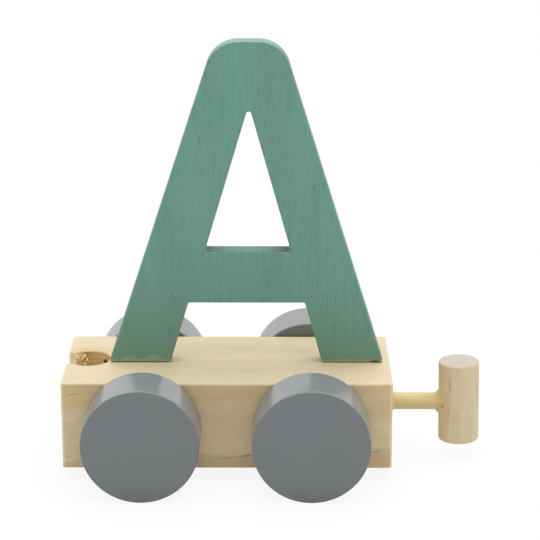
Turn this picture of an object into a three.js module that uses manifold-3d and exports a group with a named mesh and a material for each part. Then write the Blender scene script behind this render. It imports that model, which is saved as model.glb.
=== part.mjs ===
// A letter wagon of a wooden name train: a block on four wheels that carries a flat capital A, with an
// open socket at its rear end and a peg on a drawbar at its front end, which couple it to its neighbours.
// Millimetres. +Z is up, +X is forward towards the peg, and the origin is on the floor, under the middle
// of the wagon's whole length.

import * as THREE from "three";
import { RoundedBoxGeometry } from "three/addons/geometries/RoundedBoxGeometry.js";
import { mergeVertices } from "three/addons/utils/BufferGeometryUtils.js";
import Module from "manifold-3d";

// Block
const BLOCK_LENGTH = 63;
const BLOCK_WIDTH = 28;
const BLOCK_HEIGHT = 17;
const BLOCK_EDGE_RADIUS = 0.9;

// Wheels and axles
const WHEEL_DIAMETER = 22.2;
const WHEEL_WIDTH = 10.7;
const WHEEL_EDGE_RADIUS = 0.5;
const WHEELBASE = 32;
const AXLE_DIAMETER = 5;
const AXLE_SEAT_DEPTH = 7;

// Letter
const LETTER_HEIGHT = 63.2;
const LETTER_THICKNESS = 4;
const LETTER_FROM_FRONT_END = 1;
const LETTER_FROM_REAR_END = 8.8;
const LETTER_FOOT_WIDTH = 11.85;
const LETTER_TOP_WIDTH = 12.7;
const LETTER_TOP_RADIUS = 6.2;
const LETTER_CORNER_RADIUS = 0.8;
const LETTER_EDGE_RADIUS = 0.4;
const LETTER_CROWN_HEIGHT = 12;
const COUNTER_APEX_RADIUS = 0.5;
const CROSSBAR_BOTTOM = 12.2;
const CROSSBAR_DEPTH = 10.1;
const LETTER_PIN_DIAMETER = 2;
const LETTER_PIN_DEPTH_IN_FOOT = 4.5;
const WOOD_UNDER_LETTER_PIN = 1.4;

// Coupling
const SOCKET_FROM_END = 3.9;
const PEG_DIAMETER = 8;
const PEG_HEIGHT = 16.2;
const PEG_EDGE_RADIUS = 0.5;
const PEG_REACH = 13.9;
const DRAWBAR_DIAMETER = 3.3;
const DRAWBAR_FLARE_AT_BLOCK = 1.4;
const DRAWBAR_FLARE_AT_PEG = 0.8;
const WOOD_BEHIND_DRAWBAR = 2.8;
const DRAWBAR_DEPTH_IN_PEG = 5;

// Clearances
const RUNNING_CLEARANCE = 0.1;
const GLUE_LINE = 0.1;
const WHEEL_TO_BLOCK = 0.4;
const PEG_IN_SOCKET = 0.6;
const DRAWBAR_IN_SLOT = 1.75;
const SADDLE_GAP = 0.3;

// How finely the round stretches are divided
const WHEEL_SEGMENTS = 48;
const DOWEL_SEGMENTS = 32;
const PIN_SEGMENTS = 16;
const EDGE_SEGMENTS = 2;
const CORNER_SEGMENTS = 4;

// Levels, places and bores in the wagon's own frame, whose origin is the middle of the block. The axles, the
// drawbar and the peg are all at the block's mid-height.
const blockTop = BLOCK_HEIGHT / 2;
const blockEnd = BLOCK_LENGTH / 2;
const letterFoot = blockTop + GLUE_LINE;
const letterMiddle = (LETTER_FROM_REAR_END - LETTER_FROM_FRONT_END) / 2;
const letterFootSpan = BLOCK_LENGTH - LETTER_FROM_FRONT_END - LETTER_FROM_REAR_END;
const letterFootGap = letterFootSpan - 2 * LETTER_FOOT_WIDTH;
const footMiddle = (letterFootSpan - LETTER_FOOT_WIDTH) / 2;
const wheelInnerFace = BLOCK_WIDTH / 2 + WHEEL_TO_BLOCK;
const axleBore = AXLE_DIAMETER + 2 * RUNNING_CLEARANCE;
const letterPinBore = LETTER_PIN_DIAMETER + 2 * GLUE_LINE;
const letterPinBoreDepth = blockTop - axleBore / 2 - WOOD_UNDER_LETTER_PIN;
const drawbarBore = DRAWBAR_DIAMETER + 2 * GLUE_LINE;
const drawbarBoreDepth = blockEnd - WHEELBASE / 2 - axleBore / 2 - WOOD_BEHIND_DRAWBAR;
const socketDiameter = PEG_DIAMETER + 2 * PEG_IN_SOCKET;
const slotWidth = DRAWBAR_DIAMETER + 2 * DRAWBAR_IN_SLOT;

const PALE_WOOD = { color: 0xd8c39b, roughness: 0.72, metalness: 0 };
const DOWEL_WOOD = { color: 0xd9c3a1, roughness: 0.7, metalness: 0 };
const YELLOW_WOOD = { color: 0xcdb67a, roughness: 0.5, metalness: 0 };
const GREEN_PAINT = { color: 0x6a9485, roughness: 0.5, metalness: 0 };
const GREY_ENAMEL = { color: 0x77797c, roughness: 0.3, metalness: 0 };

const wasm = await Module();
wasm.setup();

// Turns a closed geometry into a solid that can be cut and joined, with its seams welded.
const WELD_DISTANCE = 1e-4;
function solidOf(geometry) {
  const bare = geometry.clone();
  bare.deleteAttribute("normal");
  bare.deleteAttribute("uv");
  const merged = mergeVertices(bare, WELD_DISTANCE);
  return new wasm.Manifold(
    new wasm.Mesh({
      numProp: 3,
      vertProperties: new Float32Array(merged.attributes.position.array),
      triVerts: new Uint32Array(merged.index.array),
    }),
  );
}

function geometryOf(solid) {
  const { vertProperties, triVerts } = solid.getMesh();
  const geometry = new THREE.BufferGeometry();
  geometry.setAttribute("position", new THREE.BufferAttribute(vertProperties, 3));
  geometry.setIndex(new THREE.BufferAttribute(triVerts, 1));
  geometry.computeVertexNormals();
  return geometry;
}

function cut(geometry, tools) {
  const body = tools.reduce((rest, tool) => rest.subtract(solidOf(tool)), solidOf(geometry));
  return geometryOf(body);
}

// Round bars along each axis, centred on the origin.
function barAlongY(diameter, length, segments) {
  return new THREE.CylinderGeometry(diameter / 2, diameter / 2, length, segments);
}

function barAlongX(diameter, length, segments) {
  return barAlongY(diameter, length, segments).rotateZ(Math.PI / 2);
}

function barAlongZ(diameter, length, segments) {
  return barAlongY(diameter, length, segments).rotateX(Math.PI / 2);
}

// The quarter round from one face of a turned piece to the next, about its centre (radius, height).
function quarterRound(centreRadius, centreHeight, radius, fromAngle) {
  const points = [];
  for (let step = 0; step <= EDGE_SEGMENTS; step += 1) {
    const angle = fromAngle + (Math.PI / 2) * (step / EDGE_SEGMENTS);
    const outward = centreRadius + radius * Math.cos(angle);
    points.push(new THREE.Vector2(outward, centreHeight + radius * Math.sin(angle)));
  }
  return points;
}

// Draws a closed outline through corners of [x, y, radius], each rounded by an arc of its own radius or
// by the largest that its shorter side has room for.
const MOST_OF_A_SIDE = 0.48;
function roundedOutline(path, corners) {
  const count = corners.length;
  for (let i = 0; i < count; i += 1) {
    const [x, y, radius] = corners[i];
    const corner = new THREE.Vector2(x, y);
    const before = new THREE.Vector2(...corners[(i + count - 1) % count]).sub(corner);
    const after = new THREE.Vector2(...corners[(i + 1) % count]).sub(corner);
    const shorterSide = Math.min(before.length(), after.length());
    before.normalize();
    after.normalize();
    const half = Math.acos(before.dot(after)) / 2;
    const turnsLeft = before.cross(after) < 0;
    const reach = Math.min(radius / Math.tan(half), MOST_OF_A_SIDE * shorterSide);
    const fitted = reach * Math.tan(half);
    const middle = before.clone().add(after).normalize().multiplyScalar(fitted / Math.sin(half));
    const centre = corner.clone().add(middle);
    const start = corner.clone().addScaledVector(before, reach).sub(centre).angle();
    const end = corner.clone().addScaledVector(after, reach).sub(centre).angle();
    path.absarc(centre.x, centre.y, fitted, start, end, !turnsLeft);
  }
  path.closePath();
  return path;
}

// The block: a planed stick cut to length, edges broken, bored across for the axles and along for the
// drawbar, with a keyhole socket through its rear end and two small holes for the letter's pins.
function makeBlock() {
  const blank = new RoundedBoxGeometry(
    BLOCK_LENGTH,
    BLOCK_WIDTH,
    BLOCK_HEIGHT,
    EDGE_SEGMENTS,
    BLOCK_EDGE_RADIUS,
  );
  const drawbarDrill = barAlongX(drawbarBore, 2 * drawbarBoreDepth, DOWEL_SEGMENTS);
  const tools = [makeSocketCutter(), drawbarDrill.translate(blockEnd, 0, 0)];
  for (const end of [1, -1]) {
    const axleDrill = barAlongY(axleBore, 2 * BLOCK_WIDTH, DOWEL_SEGMENTS);
    tools.push(axleDrill.translate((end * WHEELBASE) / 2, 0, 0));
    const pinDrill = barAlongZ(letterPinBore, 2 * letterPinBoreDepth, PIN_SEGMENTS);
    tools.push(pinDrill.translate(letterMiddle + end * footMiddle, 0, blockTop));
  }
  return cut(blank, tools);
}

// The keyhole in plan: a round seat for the next wagon's peg, open to the end face through a slot that
// is narrower than the peg.
function makeSocketCutter() {
  const slotAngle = Math.PI - Math.asin(slotWidth / socketDiameter);
  const seat = SOCKET_FROM_END - blockEnd;
  const beyondEnd = -blockEnd - SOCKET_FROM_END;
  const keyhole = new THREE.Shape();
  keyhole.absarc(seat, 0, socketDiameter / 2, -slotAngle, slotAngle, false);
  keyhole.lineTo(beyondEnd, slotWidth / 2);
  keyhole.lineTo(beyondEnd, -slotWidth / 2);
  keyhole.closePath();
  return new THREE.ExtrudeGeometry(keyhole, {
    depth: 2 * BLOCK_HEIGHT,
    bevelEnabled: false,
    curveSegments: DOWEL_SEGMENTS,
  }).translate(0, 0, -BLOCK_HEIGHT);
}

// The letter, drawn from its foot up and centred on its own middle: two straight legs that narrow to a
// round-shouldered top, a crossbar, and a triangular counter above it.
function makeLetter() {
  const counterApex = LETTER_HEIGHT - LETTER_CROWN_HEIGHT;
  const gapAt = (height) => (letterFootGap / 2) * (1 - height / counterApex);
  const crossbarTop = CROSSBAR_BOTTOM + CROSSBAR_DEPTH;
  const foot = letterFootSpan / 2;
  const top = LETTER_TOP_WIDTH / 2;
  const small = LETTER_CORNER_RADIUS;

  const outline = roundedOutline(new THREE.Shape(), [
    [-foot, 0, small],
    [-gapAt(0), 0, small],
    [-gapAt(CROSSBAR_BOTTOM), CROSSBAR_BOTTOM, small],
    [gapAt(CROSSBAR_BOTTOM), CROSSBAR_BOTTOM, small],
    [gapAt(0), 0, small],
    [foot, 0, small],
    [top, LETTER_HEIGHT, LETTER_TOP_RADIUS],
    [-top, LETTER_HEIGHT, LETTER_TOP_RADIUS],
  ]);
  const counter = roundedOutline(new THREE.Path(), [
    [0, counterApex, COUNTER_APEX_RADIUS],
    [-gapAt(crossbarTop), crossbarTop, small],
    [gapAt(crossbarTop), crossbarTop, small],
  ]);
  outline.holes.push(counter);

  const plate = new THREE.ExtrudeGeometry(outline, {
    depth: LETTER_THICKNESS - 2 * LETTER_EDGE_RADIUS,
    bevelThickness: LETTER_EDGE_RADIUS,
    bevelSize: LETTER_EDGE_RADIUS,
    bevelOffset: -LETTER_EDGE_RADIUS,
    bevelSegments: EDGE_SEGMENTS,
    curveSegments: CORNER_SEGMENTS,
  });
  plate.translate(0, 0, LETTER_EDGE_RADIUS - LETTER_THICKNESS / 2).rotateX(Math.PI / 2);

  const pinBoreDepth = LETTER_PIN_DEPTH_IN_FOOT + GLUE_LINE;
  const holes = [1, -1].map((end) =>
    barAlongZ(letterPinBore, 2 * pinBoreDepth, PIN_SEGMENTS).translate(end * footMiddle, 0, 0),
  );
  return cut(plate, holes);
}

// A wheel turned from solid stock, outer face up its own Y axis: plain discs with a blind bore for the
// axle in the inner face, which lies at height zero.
function makeWheel() {
  const radius = WHEEL_DIAMETER / 2;
  const round = WHEEL_EDGE_RADIUS;
  const bore = AXLE_DIAMETER / 2 + GLUE_LINE;
  const boreEnd = AXLE_SEAT_DEPTH + GLUE_LINE;
  const profile = [
    new THREE.Vector2(0, boreEnd),
    new THREE.Vector2(bore, boreEnd),
    new THREE.Vector2(bore, 0),
    ...quarterRound(radius - round, round, round, -Math.PI / 2),
    ...quarterRound(radius - round, WHEEL_WIDTH - round, round, 0),
    new THREE.Vector2(0, WHEEL_WIDTH),
  ];
  return new THREE.LatheGeometry(profile, WHEEL_SEGMENTS);
}

// The coupling peg: a length of dowel with broken edges, drilled from behind for the drawbar.
function makePeg() {
  const radius = PEG_DIAMETER / 2;
  const round = PEG_EDGE_RADIUS;
  const half = PEG_HEIGHT / 2;
  const profile = [
    new THREE.Vector2(0, -half),
    ...quarterRound(radius - round, round - half, round, -Math.PI / 2),
    ...quarterRound(radius - round, half - round, round, 0),
    new THREE.Vector2(0, half),
  ];
  const dowel = new THREE.LatheGeometry(profile, DOWEL_SEGMENTS).rotateX(Math.PI / 2);
  const boreDepth = DRAWBAR_DEPTH_IN_PEG + GLUE_LINE;
  const drill = barAlongX(drawbarBore, 2 * boreDepth, DOWEL_SEGMENTS).translate(-radius, 0, 0);
  return cut(dowel, [drill]);
}

// The drawbar, along X from the block's end face at zero: a rod that flares where it meets the block and
// the peg, hollowed there to saddle the peg, with a plain tenon in each.
function makeDrawbar() {
  const radius = DRAWBAR_DIAMETER / 2;
  const blockFlare = radius + DRAWBAR_FLARE_AT_BLOCK;
  const pegFlare = radius + DRAWBAR_FLARE_AT_PEG;
  const pegFace = PEG_REACH - PEG_DIAMETER / 2;
  const saddleFace = pegFace - SADDLE_GAP;
  const bodyProfile = [
    new THREE.Vector2(0, GLUE_LINE),
    new THREE.Vector2(blockFlare, GLUE_LINE),
    new THREE.Vector2(radius, GLUE_LINE + DRAWBAR_FLARE_AT_BLOCK),
    new THREE.Vector2(radius, saddleFace - DRAWBAR_FLARE_AT_PEG),
    new THREE.Vector2(pegFlare, saddleFace),
    new THREE.Vector2(pegFlare, PEG_REACH),
    new THREE.Vector2(0, PEG_REACH),
  ];
  const body = new THREE.LatheGeometry(bodyProfile, DOWEL_SEGMENTS).rotateZ(-Math.PI / 2);
  const saddle = barAlongZ(PEG_DIAMETER + 2 * SADDLE_GAP, PEG_HEIGHT, DOWEL_SEGMENTS);
  saddle.translate(PEG_REACH, 0, 0);

  const rodStart = GLUE_LINE - drawbarBoreDepth;
  const rodEnd = pegFace + DRAWBAR_DEPTH_IN_PEG;
  const rod = barAlongX(DRAWBAR_DIAMETER, rodEnd - rodStart, DOWEL_SEGMENTS);
  rod.translate((rodStart + rodEnd) / 2, 0, 0);
  return geometryOf(solidOf(body).subtract(solidOf(saddle)).add(solidOf(rod)));
}

const wagon = new THREE.Group();

// Adds one named piece with its own finish and returns it for placing.
function addPiece(name, geometry, finish) {
  const piece = new THREE.Mesh(geometry, new THREE.MeshStandardMaterial(finish));
  piece.name = name;
  wagon.add(piece);
  return piece;
}

addPiece("chassis_block", makeBlock(), PALE_WOOD);

const letter = addPiece("letter_a", makeLetter(), GREEN_PAINT);
letter.position.set(letterMiddle, 0, letterFoot);

for (const [end, side] of [["front", 1], ["rear", -1]]) {
  const pinBottom = blockTop - letterPinBoreDepth + GLUE_LINE;
  const pinTop = letterFoot + LETTER_PIN_DEPTH_IN_FOOT;
  const pinBar = barAlongZ(LETTER_PIN_DIAMETER, pinTop - pinBottom, PIN_SEGMENTS);
  const pin = addPiece(`letter_pin_${end}`, pinBar, DOWEL_WOOD);
  pin.position.set(letterMiddle + side * footMiddle, 0, (pinTop + pinBottom) / 2);

  const axleAt = (side * WHEELBASE) / 2;
  const axleLength = 2 * (wheelInnerFace + AXLE_SEAT_DEPTH);
  const axleBar = barAlongY(AXLE_DIAMETER, axleLength, DOWEL_SEGMENTS);
  const axle = addPiece(`${end}_axle`, axleBar, DOWEL_WOOD);
  axle.position.set(axleAt, 0, 0);

  const leftWheel = addPiece(`${end}_left_wheel`, makeWheel(), GREY_ENAMEL);
  leftWheel.position.set(axleAt, wheelInnerFace, 0);

  const rightWheel = addPiece(`${end}_right_wheel`, makeWheel(), GREY_ENAMEL);
  rightWheel.position.set(axleAt, -wheelInnerFace, 0);
  rightWheel.rotation.z = Math.PI;
}

const drawbar = addPiece("drawbar", makeDrawbar(), YELLOW_WOOD);
drawbar.position.set(blockEnd, 0, 0);

const peg = addPiece("coupling_peg", makePeg(), DOWEL_WOOD);
peg.position.set(blockEnd + PEG_REACH, 0, 0);

// The wagon stands on the floor, with the middle of its whole length over the origin.
const overhang = PEG_REACH + PEG_DIAMETER / 2;
wagon.position.set(-overhang / 2, 0, WHEEL_DIAMETER / 2);

const model = new THREE.Group();
model.add(wagon);

export default model;
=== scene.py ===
import math
import random

import bmesh
import bpy
from mathutils import Matrix, Vector
from mathutils.geometry import tessellate_polygon


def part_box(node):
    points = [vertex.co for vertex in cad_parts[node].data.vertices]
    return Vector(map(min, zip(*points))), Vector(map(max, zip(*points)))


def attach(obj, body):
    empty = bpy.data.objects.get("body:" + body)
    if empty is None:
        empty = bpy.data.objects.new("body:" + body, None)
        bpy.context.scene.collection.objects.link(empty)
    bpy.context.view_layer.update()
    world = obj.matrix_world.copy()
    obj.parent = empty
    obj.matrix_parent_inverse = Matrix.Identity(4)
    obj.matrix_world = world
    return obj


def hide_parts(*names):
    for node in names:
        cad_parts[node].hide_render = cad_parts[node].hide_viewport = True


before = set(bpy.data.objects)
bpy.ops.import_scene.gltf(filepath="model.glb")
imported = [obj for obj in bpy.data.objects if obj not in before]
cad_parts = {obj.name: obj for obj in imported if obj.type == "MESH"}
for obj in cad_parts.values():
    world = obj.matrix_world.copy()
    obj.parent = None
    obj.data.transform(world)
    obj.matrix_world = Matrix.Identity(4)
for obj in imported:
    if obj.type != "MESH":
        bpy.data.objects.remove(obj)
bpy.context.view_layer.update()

# The block: a stick of pale pine planed to size and cut to length, its edges eased by sanding and left bare.
# A keyhole is routed down through the rear end for the next wagon's peg, leaving pale torn fibres at its
# throat, and the block is bored for the axles, the drawbar and the letter's pins.
MM = 0.001
random.seed(11)


def box_in_mm(node):
    """The low and the high corner of a solid's box, in millimetres."""
    low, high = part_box(node)
    return low / MM, high / MM


def middle_in_mm(node):
    """The middle of a solid's box, in millimetres."""
    low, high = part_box(node)
    return (low + high) / 2 / MM


block_low, block_high = box_in_mm("chassis_block")
left, right = block_low.x, block_high.x
near, far = block_low.y, block_high.y
BLOCK_TALLER = 0.1
block_top = block_high.z + BLOCK_TALLER
BLOCK_EDGE = 0.4
BLOCK_EDGE_LEAST = 0.94
BLOCK_LOW_SHARE = 0.3
BLOCK_CORNER = 0.6
SOCKET_X = left + 4.2
SOCKET_Y = 0.6
SOCKET_RADIUS = 4.25
SOCKET_EDGE = 0.42
SOCKET_EDGE_LEAST = 0.35
SLOT_HALF = 3.2
MOUTH_CORNER = 0.5
THROAT_CORNER = 0.5
AXLE_BORE = 5.2
DRAWBAR_BORE = 3.5
DRAWBAR_BORE_DEPTH = 10.1
PIN_BORE = 2.2
PIN_BORE_DEPTH = 4.5
BORE_SIDES = 40
BIT_CLEAR = 5.0


def arc(x, y, radius, start, end, step=0.2):
    """Points round an arc between two angles in degrees, about step mm apart."""
    count = max(3, round(abs(math.radians(end - start)) * radius / step))
    angles = [math.radians(start + (end - start) * i / count) for i in range(count + 1)]
    return [(x + radius * math.cos(a), y + radius * math.sin(a)) for a in angles]


def line(start, end, step=1.5):
    """Points inside a straight stretch, about step mm apart and without its two ends."""
    start, end = Vector(start), Vector(end)
    count = max(2, round((end - start).length / step))
    return [tuple(start.lerp(end, i / count)) for i in range(1, count)]


def rounded_plate(loops, low, high, low_share=1.0, steps=6):
    """A plate between two levels from closed loops of (u, v, edge radius), solid to the left of each.
    The lower edges take a share of that radius. Returns points (u, v, level) and faces."""
    quarter = [math.radians(90 * i / steps) for i in range(steps + 1)]
    points = []
    faces = []
    caps = ([], [])
    for loop in loops:
        first = len(points)
        count = len(loop)
        places = [Vector(p[:2]) for p in loop]
        sides = [(places[(i + 1) % count] - places[i]).normalized() for i in range(count)]
        outward = [Vector((side.y, -side.x)) for side in sides]
        lean = [(outward[i - 1] + outward[i]) / (1 + outward[i - 1].dot(outward[i])) for i in range(count)]
        rows = [(a, -1) for a in reversed(quarter)] + [(a, 1) for a in quarter]
        for angle, face in rows:
            for place, out, (_, _, radius) in zip(places, lean, loop):
                size = radius if face > 0 else radius * low_share
                at = place - out * size * (1 - math.cos(angle))
                rise = size * (1 - math.sin(angle))
                points.append((at.x, at.y, high - rise if face > 0 else low + rise))
        for row in range(len(rows) - 1):
            for i in range(count):
                a = first + row * count + i
                b = first + row * count + (i + 1) % count
                faces.append((a, b, b + count, a + count))
        caps[0].append(range(first, first + count))
        caps[1].append(range(first + (len(rows) - 1) * count, first + len(rows) * count))
    for cap, turn in zip(caps, (-1, 1)):
        indices = [i for loop in cap for i in loop]
        outlines = [[Vector((points[i][0], points[i][1], 0)) for i in loop] for loop in cap]
        for triangle in tessellate_polygon(outlines):
            a, b, c = (Vector(points[indices[i]]) for i in triangle)
            upward = (b - a).cross(c - a).z * turn > 0
            corners = [indices[i] for i in triangle]
            faces.append(corners if upward else corners[::-1])
    return points, faces


def new_piece(name, points, faces):
    """A mesh object from points in millimetres."""
    mesh = bpy.data.meshes.new(name)
    mesh.from_pydata([Vector(p) * MM for p in points], [], faces)
    piece = bpy.data.objects.new(name, mesh)
    bpy.context.scene.collection.objects.link(piece)
    return piece


def cut_away(piece, cutter):
    """Cuts one piece with another, which is used up."""
    cutting = piece.modifiers.new("cutting", "BOOLEAN")
    cutting.operation = "DIFFERENCE"
    cutting.solver = "EXACT"
    cutting.object = cutter
    shaped = piece.evaluated_get(bpy.context.evaluated_depsgraph_get())
    mesh = bpy.data.meshes.new_from_object(shaped)
    piece.modifiers.clear()
    piece.data = mesh
    bpy.data.objects.remove(cutter)


def drill(piece, start, end, diameter):
    """Bores a round hole between two points."""
    start, end = Vector(start), Vector(end)
    turn = (end - start).to_track_quat("Z", "Y").to_matrix().to_4x4()
    bit = bmesh.new()
    bmesh.ops.create_cone(
        bit,
        cap_ends=True,
        segments=BORE_SIDES,
        radius1=diameter / 2 * MM,
        radius2=diameter / 2 * MM,
        depth=(end - start).length * MM,
        matrix=Matrix.Translation((start + end) / 2 * MM) @ turn,
    )
    mesh = bpy.data.meshes.new("bit")
    bit.to_mesh(mesh)
    bit.free()
    cutter = bpy.data.objects.new("bit", mesh)
    bpy.context.scene.collection.objects.link(cutter)
    cut_away(piece, cutter)


def smooth(piece, angle=32):
    """Shades a piece smooth, except over edges sharper than the angle, and keeps its flat faces flat."""
    piece.data.shade_smooth()
    piece.data.set_sharp_from_angle(angle=math.radians(angle))
    weighting = piece.modifiers.new("weighting", "WEIGHTED_NORMAL")
    weighting.keep_sharp = True


def eased(points, radius, least):
    """Gives an outline a hand-sanded edge, uneven between a least share of a radius and all of it."""
    return [(x, y, radius * random.uniform(least, 1.0)) for x, y in points]


throat_x = SOCKET_X - math.sqrt((SOCKET_RADIUS + THROAT_CORNER) ** 2 - (SLOT_HALF + THROAT_CORNER) ** 2)
throat_angle = math.degrees(math.atan2(SLOT_HALF + THROAT_CORNER, throat_x - SOCKET_X))
mouth_x = left + MOUTH_CORNER
mouth_far = SOCKET_Y + SLOT_HALF
mouth_near = SOCKET_Y - SLOT_HALF
inset = BLOCK_CORNER

outer = arc(right - inset, near + inset, inset, -90, 0)
outer += line((right, near + inset), (right, far - inset))
outer += arc(right - inset, far - inset, inset, 0, 90)
outer += line((right - inset, far), (left + inset, far))
outer += arc(left + inset, far - inset, inset, 90, 180)
outer += line((left, far - inset), (left, mouth_far + MOUTH_CORNER))
keyhole = arc(mouth_x, mouth_far + MOUTH_CORNER, MOUTH_CORNER, 180, 270)
keyhole += line((mouth_x, mouth_far), (throat_x, mouth_far), step=0.3)
keyhole += arc(throat_x, mouth_far + THROAT_CORNER, THROAT_CORNER, 270, 180 + throat_angle, step=0.1)[:-1]
keyhole += arc(SOCKET_X, SOCKET_Y, SOCKET_RADIUS, throat_angle, -throat_angle)
keyhole += arc(throat_x, mouth_near - THROAT_CORNER, THROAT_CORNER, 180 - throat_angle, 90, step=0.1)[1:]
keyhole += line((throat_x, mouth_near), (mouth_x, mouth_near), step=0.3)
keyhole += arc(mouth_x, mouth_near - MOUTH_CORNER, MOUTH_CORNER, 90, 180)
closing = line((left, mouth_near - MOUTH_CORNER), (left, near + inset))
closing += arc(left + inset, near + inset, inset, 180, 270)
closing += line((left + inset, near), (right - inset, near))
rim = eased(outer, BLOCK_EDGE, BLOCK_EDGE_LEAST)
rim += eased(keyhole, SOCKET_EDGE, SOCKET_EDGE_LEAST)
rim += eased(closing, BLOCK_EDGE, BLOCK_EDGE_LEAST)

block = new_piece("block", *rounded_plate([rim], block_low.z, block_top, BLOCK_LOW_SHARE))
axle_places = [middle_in_mm(node) for node in ("front_axle", "rear_axle")]
pin_places = [middle_in_mm(node) for node in ("letter_pin_front", "letter_pin_rear")]
axle_height = axle_places[0].z
for axle in axle_places:
    drill(block, (axle.x, near - BIT_CLEAR, axle.z), (axle.x, far + BIT_CLEAR, axle.z), AXLE_BORE)
drill(block, (right - DRAWBAR_BORE_DEPTH, 0, axle_height), (right + BIT_CLEAR, 0, axle_height), DRAWBAR_BORE)
for pin in pin_places:
    drill(block, (pin.x, 0, block_high.z - PIN_BORE_DEPTH), (pin.x, 0, block_top + BIT_CLEAR), PIN_BORE)

ROUTED_FACE = 1
ROUTED_MARGIN = 0.1
ROUTED_SLOPE = 0.5
TORN_FACE = 2
SLIVER_STEPS = 5
SLIVER_THICKNESS = 0.35
SLIVER_TAPER = 0.7
SLIVER_ROOT = 0.1
SLIVER_BELOW_TOP = 0.1
THROAT_FIBRES = 16
THROAT_FIBRES_FROM = -2.75
THROAT_FIBRE_STEP = 0.12
THROAT_FIBRE_DEPTHS = (0.7, 2.6)
THROAT_FIBRE_WIDTHS = (0.4, 0.65)
THROAT_CURLS_ALONG = (-0.8, 0.8)
THROAT_CURLS_OUT = (0.4, 1.1)
THROAT_CURLS_UP = (-0.9, 0.8)
THROAT_BOWS_ALONG = (-0.25, 0.25)
THROAT_BOW = (-0.2, 0.2)
BACK_FIBRES = 4
BACK_FIBRES_FROM = 2.3
BACK_FIBRE_STEP = 0.24
BACK_FIBRE_DEPTHS = (0.7, 1.2)
BACK_FIBRE_WIDTH = 0.26
BACK_CURLS_ALONG = (0.1, 0.5)
BACK_CURLS_OUT = (0.3, 0.5)
BACK_CURLS_DOWN = (-0.3, 0.4)
BACK_BOW = (0.1, -0.1, 0.1)


def sliver(base, tip, bow, width):
    """A torn strip of wood, bowed most at its middle and thinner towards its tip."""
    base, tip, bow = Vector(base), Vector(tip), Vector(bow)
    along = (tip - base).normalized()
    side = along.cross(bow).normalized() * width / 2
    thick = side.cross(along) * SLIVER_THICKNESS
    points = []
    for step in range(SLIVER_STEPS + 1):
        t = step / SLIVER_STEPS
        middle = base.lerp(tip, t) + bow * 4 * t * (1 - t)
        for out in (side + thick, side - thick, -side - thick, thick - side):
            points.append(middle + out * (1 - SLIVER_TAPER * t))
    end = 4 * SLIVER_STEPS
    faces = [(0, 1, 2, 3), (end + 3, end + 2, end + 1, end)]
    for step in range(SLIVER_STEPS):
        for i in range(4):
            a = 4 * step + i
            b = 4 * step + (i + 1) % 4
            faces.append((a + 4, b + 4, b, a))
    return points, faces


def socket_wall(x):
    """How far to the side the socket's wall is at a place along the block."""
    return SOCKET_Y + math.sqrt(SOCKET_RADIUS**2 - (x - SOCKET_X) ** 2)


shape = bmesh.new()
shape.from_mesh(block.data)
for face in shape.faces:
    middle = face.calc_center_median() / MM
    along_socket = left + ROUTED_MARGIN < middle.x < SOCKET_X + SOCKET_RADIUS + ROUTED_MARGIN
    across_socket = abs(middle.y) < SOCKET_RADIUS + SOCKET_Y
    if along_socket and across_socket and abs(face.normal.z) < ROUTED_SLOPE:
        face.material_index = ROUTED_FACE
slivers = []
for i in range(THROAT_FIBRES):
    x = SOCKET_X + THROAT_FIBRES_FROM + THROAT_FIBRE_STEP * i
    base = (x, socket_wall(x) + SLIVER_ROOT, block_top - random.uniform(*THROAT_FIBRE_DEPTHS))
    along = random.uniform(*THROAT_CURLS_ALONG)
    out = random.uniform(*THROAT_CURLS_OUT)
    up = random.uniform(*THROAT_CURLS_UP)
    tip = (x + along, base[1] - out, min(base[2] + up, block_top - SLIVER_BELOW_TOP))
    bow = (random.uniform(*THROAT_BOWS_ALONG), *THROAT_BOW)
    slivers.append(sliver(base, tip, bow, random.uniform(*THROAT_FIBRE_WIDTHS)))
for i in range(BACK_FIBRES):
    x = SOCKET_X + BACK_FIBRES_FROM + BACK_FIBRE_STEP * i
    base = (x, socket_wall(x) + SLIVER_ROOT, block_top - random.uniform(*BACK_FIBRE_DEPTHS))
    along = random.uniform(*BACK_CURLS_ALONG)
    out = random.uniform(*BACK_CURLS_OUT)
    down = random.uniform(*BACK_CURLS_DOWN)
    tip = (x - along, base[1] - out, base[2] - down)
    slivers.append(sliver(base, tip, BACK_BOW, BACK_FIBRE_WIDTH))
for points, faces in slivers:
    corners = [shape.verts.new(point * MM) for point in points]
    for face in faces:
        shape.faces.new([corners[i] for i in face]).material_index = TORN_FACE
shape.to_mesh(block.data)
shape.free()
smooth(block)


def colour(red, green, blue):
    """A colour written in the 0 to 255 steps of a picture, as the shader takes it."""
    steps = [value / 255 for value in (red, green, blue)]
    linear = [s / 12.92 if s <= 0.04045 else ((s + 0.055) / 1.055) ** 2.4 for s in steps]
    return (*linear, 1.0)


def fill(tree, node, sockets):
    """Fills a node's sockets with values or links."""
    for socket, value in sockets.items():
        if isinstance(value, bpy.types.NodeSocket):
            tree.links.new(value, node.inputs[socket])
        else:
            node.inputs[socket].default_value = value


def add(tree, kind, sockets=None, **options):
    """Adds a node, sets its options and fills its sockets."""
    node = tree.nodes.new(kind)
    for name, value in options.items():
        setattr(node, name, value)
    fill(tree, node, sockets or {})
    return node


def maths(tree, operation, first, second=0.0):
    """The result of one sum."""
    return add(tree, "ShaderNodeMath", {0: first, 1: second}, operation=operation).outputs[0]


def times(tree, first, second):
    """One value times another."""
    return maths(tree, "MULTIPLY", first, second)


def vectors(tree, operation, first, second):
    """The outputs of one sum with two vectors."""
    return add(tree, "ShaderNodeVectorMath", {0: first, 1: second}, operation=operation).outputs


def stretch(tree, vector, scale):
    """A place scaled along each axis."""
    return vectors(tree, "MULTIPLY", vector, scale)["Vector"]


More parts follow.
